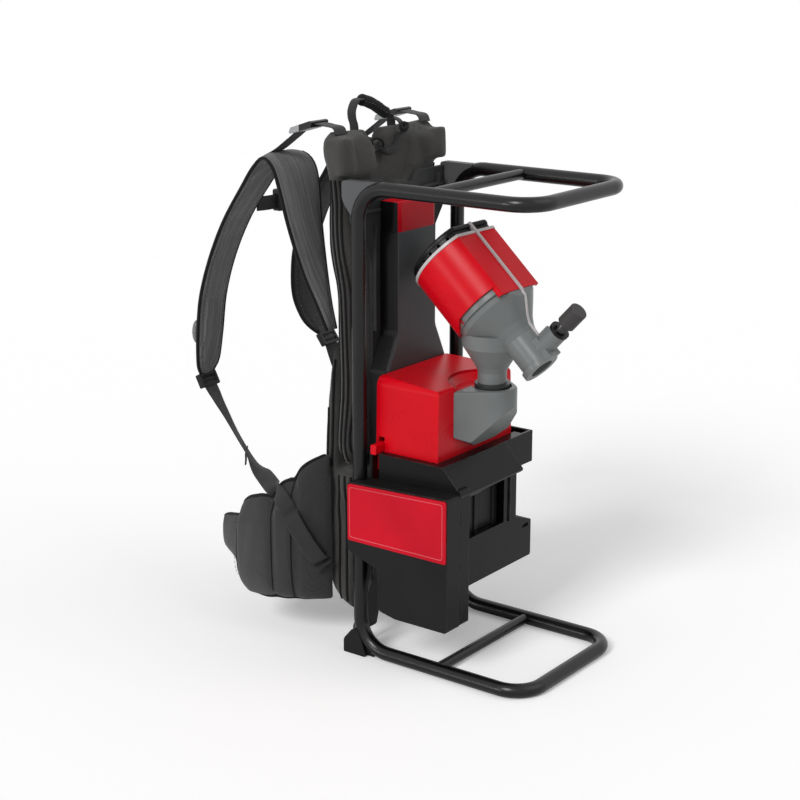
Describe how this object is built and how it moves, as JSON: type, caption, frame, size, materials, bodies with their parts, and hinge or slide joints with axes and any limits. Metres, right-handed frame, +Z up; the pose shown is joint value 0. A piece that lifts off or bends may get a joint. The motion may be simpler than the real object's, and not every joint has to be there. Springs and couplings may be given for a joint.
{
  "type": "backpack concrete vibrator power unit",
  "caption": "Battery power unit for a flexible-shaft concrete vibrator, worn on a tube frame: swivelling motor head with a shaft coupling, side-loading battery and padded harness.",
  "frame": {"origin": "on the floor under the object, midway between its sides and between the harness and the rear guard loops", "axes": "+X the wearer's right, +Y the way the wearer faces (harness side), +Z up"},
  "size_m": [0.3094, 0.5658, 0.7426],
  "materials": {
    "tube_black": "satin black",
    "bracket_black": "moulded, fine texture",
    "bracket_grey": "moulded, fine texture",
    "plate_grey": "moulded, fine texture",
    "tower_grey": "moulded, fine texture",
    "red_plastic": "semi-gloss moulded",
    "dock_black": "semi-gloss moulded",
    "battery_grey": "moulded, fine texture",
    "battery_sleeve": "moulded, fine texture",
    "head_grey": "moulded, fine texture",
    "trim_grey": "smooth",
    "vent_black": "smooth",
    "fabric_dark": "woven nylon over foam",
    "webbing_black": "woven webbing",
    "buckle_black": "smooth",
    "buckle_grey": "smooth",
    "grip_rubber": "matt",
    "circuit_green": "coated board",
    "cells": "sleeved",
    "copper": "plated",
    "steel": "machined",
    "zinc": "plated",
    "aluminium": "extruded",
    "bush_black": "smooth bearing plastic"
  },
  "bodies": {
    "carrier": {"frame_tube": "tube_black", "frame_crossbars": "tube_black", "foot_brackets": "bracket_black", "corner_brackets": "bracket_grey", "back_plate": "plate_grey", "spine_screws": "zinc", "tower_housing": "tower_grey", "tower_cap": "red_plastic", "control_board": "circuit_green", "dock_shell": "dock_black", "dock_terminals": "copper", "power_housing": "red_plastic", "motor_controller": "aluminium", "switch_body": "bush_black", "swivel_base": "head_grey", "swivel_bush": "bush_black", "back_pad": "fabric_dark", "shoulder_strap_left": "fabric_dark", "shoulder_strap_right": "fabric_dark", "lower_webbing": "webbing_black", "ladder_locks": "buckle_black", "load_lifters": "webbing_black", "lifter_buckles": "buckle_grey", "sternum_strap": "webbing_black", "sternum_buckle": "buckle_black", "hip_belt_left": "fabric_dark", "hip_belt_right": "fabric_dark", "lumbar_pad": "fabric_dark", "carry_handle": "webbing_black", "handle_grip": "grip_rubber"},
    "motor_head": {"motor_hood": "red_plastic", "rear_band": "trim_grey", "vent_ring": "vent_black", "rear_cap": "head_grey", "head_shell_left": "head_grey", "head_shell_right": "head_grey", "seam_strip": "trim_grey", "stator": "steel", "rear_bearing": "steel", "front_bearing": "steel", "plunger_collar": "vent_black", "plunger_spring": "steel"},
    "rotor": {"rotor_shaft": "steel", "rotor_core": "steel", "cooling_fan": "bush_black", "drive_socket": "steel"},
    "plunger": {"plunger_pin": "steel", "plunger_knob": "head_grey"},
    "battery": {"battery_case": "battery_grey", "battery_body": "battery_sleeve", "battery_rails": "battery_sleeve", "battery_label_panel": "red_plastic", "battery_cells": "cells", "battery_contacts": "copper"},
    "latch": {"battery_latch": "red_plastic"},
    "button": {"power_button": "bush_black"}
  },
  "joints": [
    {"name": "head_swivel", "type": "hinge", "parent": "carrier", "child": "motor_head", "pos_m": [0, -0.145, 0.352], "axis": [0, 0, 1], "range_deg": [-90, 90]},
    {"name": "rotor_spin", "type": "hinge", "parent": "motor_head", "child": "rotor", "pos_m": [0, -0.08007, 0.53848], "axis": [0, -0.7314, -0.682], "continuous": true},
    {"name": "plunger_pull", "type": "slide", "parent": "motor_head", "child": "plunger", "axis": [0, -0.682, 0.7314], "range_m": [0, 0.005], "stiffness_N_per_m": 800, "springref_m": -0.004},
    {"name": "battery_slide", "type": "slide", "parent": "carrier", "child": "battery", "axis": [-1, 0, 0], "range_m": [0, 0.19]},
    {"name": "latch_lift", "type": "slide", "parent": "carrier", "child": "latch", "axis": [0, 0, 1], "range_m": [0, 0.006], "stiffness_N_per_m": 300, "springref_m": -0.004},
    {"name": "button_press", "type": "slide", "parent": "carrier", "child": "button", "axis": [-1, 0, 0], "range_m": [0, 0.0025], "stiffness_N_per_m": 500, "springref_m": -0.002}
  ]
}
